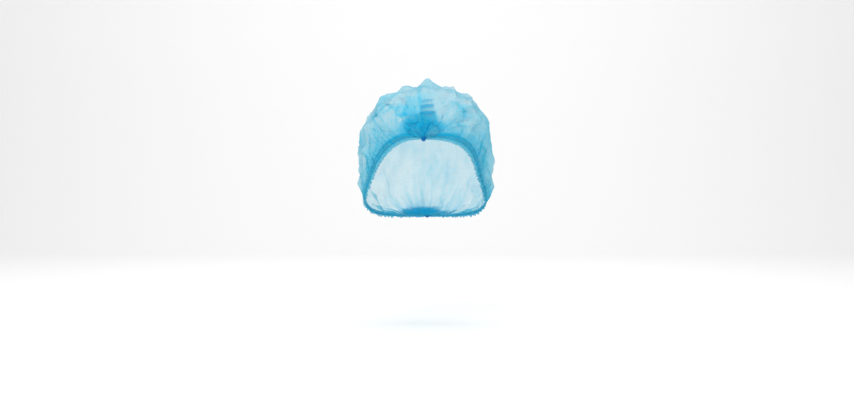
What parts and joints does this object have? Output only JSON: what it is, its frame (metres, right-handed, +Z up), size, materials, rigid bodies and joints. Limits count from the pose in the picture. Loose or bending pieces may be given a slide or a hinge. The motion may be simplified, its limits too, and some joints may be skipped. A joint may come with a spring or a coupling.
{
  "type": "disposable clip cap",
  "caption": "Pleated nonwoven clip cap in worn shape: hollow crown, elastic hems, welded pleat bundles front and nape.",
  "frame": {"origin": "middle of the wearer's head at the height of the front of the elastic edge, where the cap sits on the head", "axes": "+Z up through the crown; -Y to the front, the way the wearer faces; +X to the right as seen from the front"},
  "size_m": [0.1881, 0.2424, 0.1904],
  "materials": {
    "web": "see-through spunbond nonwoven, one layer",
    "gathered_web": "spunbond nonwoven in ruched layers",
    "bundled_web": "spunbond nonwoven pleats pressed together",
    "fused_web": "nonwoven fused solid by an ultrasonic weld",
    "elastic": "thin flat elastic under the hem"
  },
  "bodies": {
    "root": {"crown": "web", "left_hem": "gathered_web", "right_hem": "gathered_web", "left_elastic": "elastic", "right_elastic": "elastic", "front_bundle": "bundled_web", "nape_bundle": "bundled_web", "front_pleat_stack": "gathered_web", "front_weld": "fused_web", "nape_weld": "fused_web"}
  },
  "joints": []
}
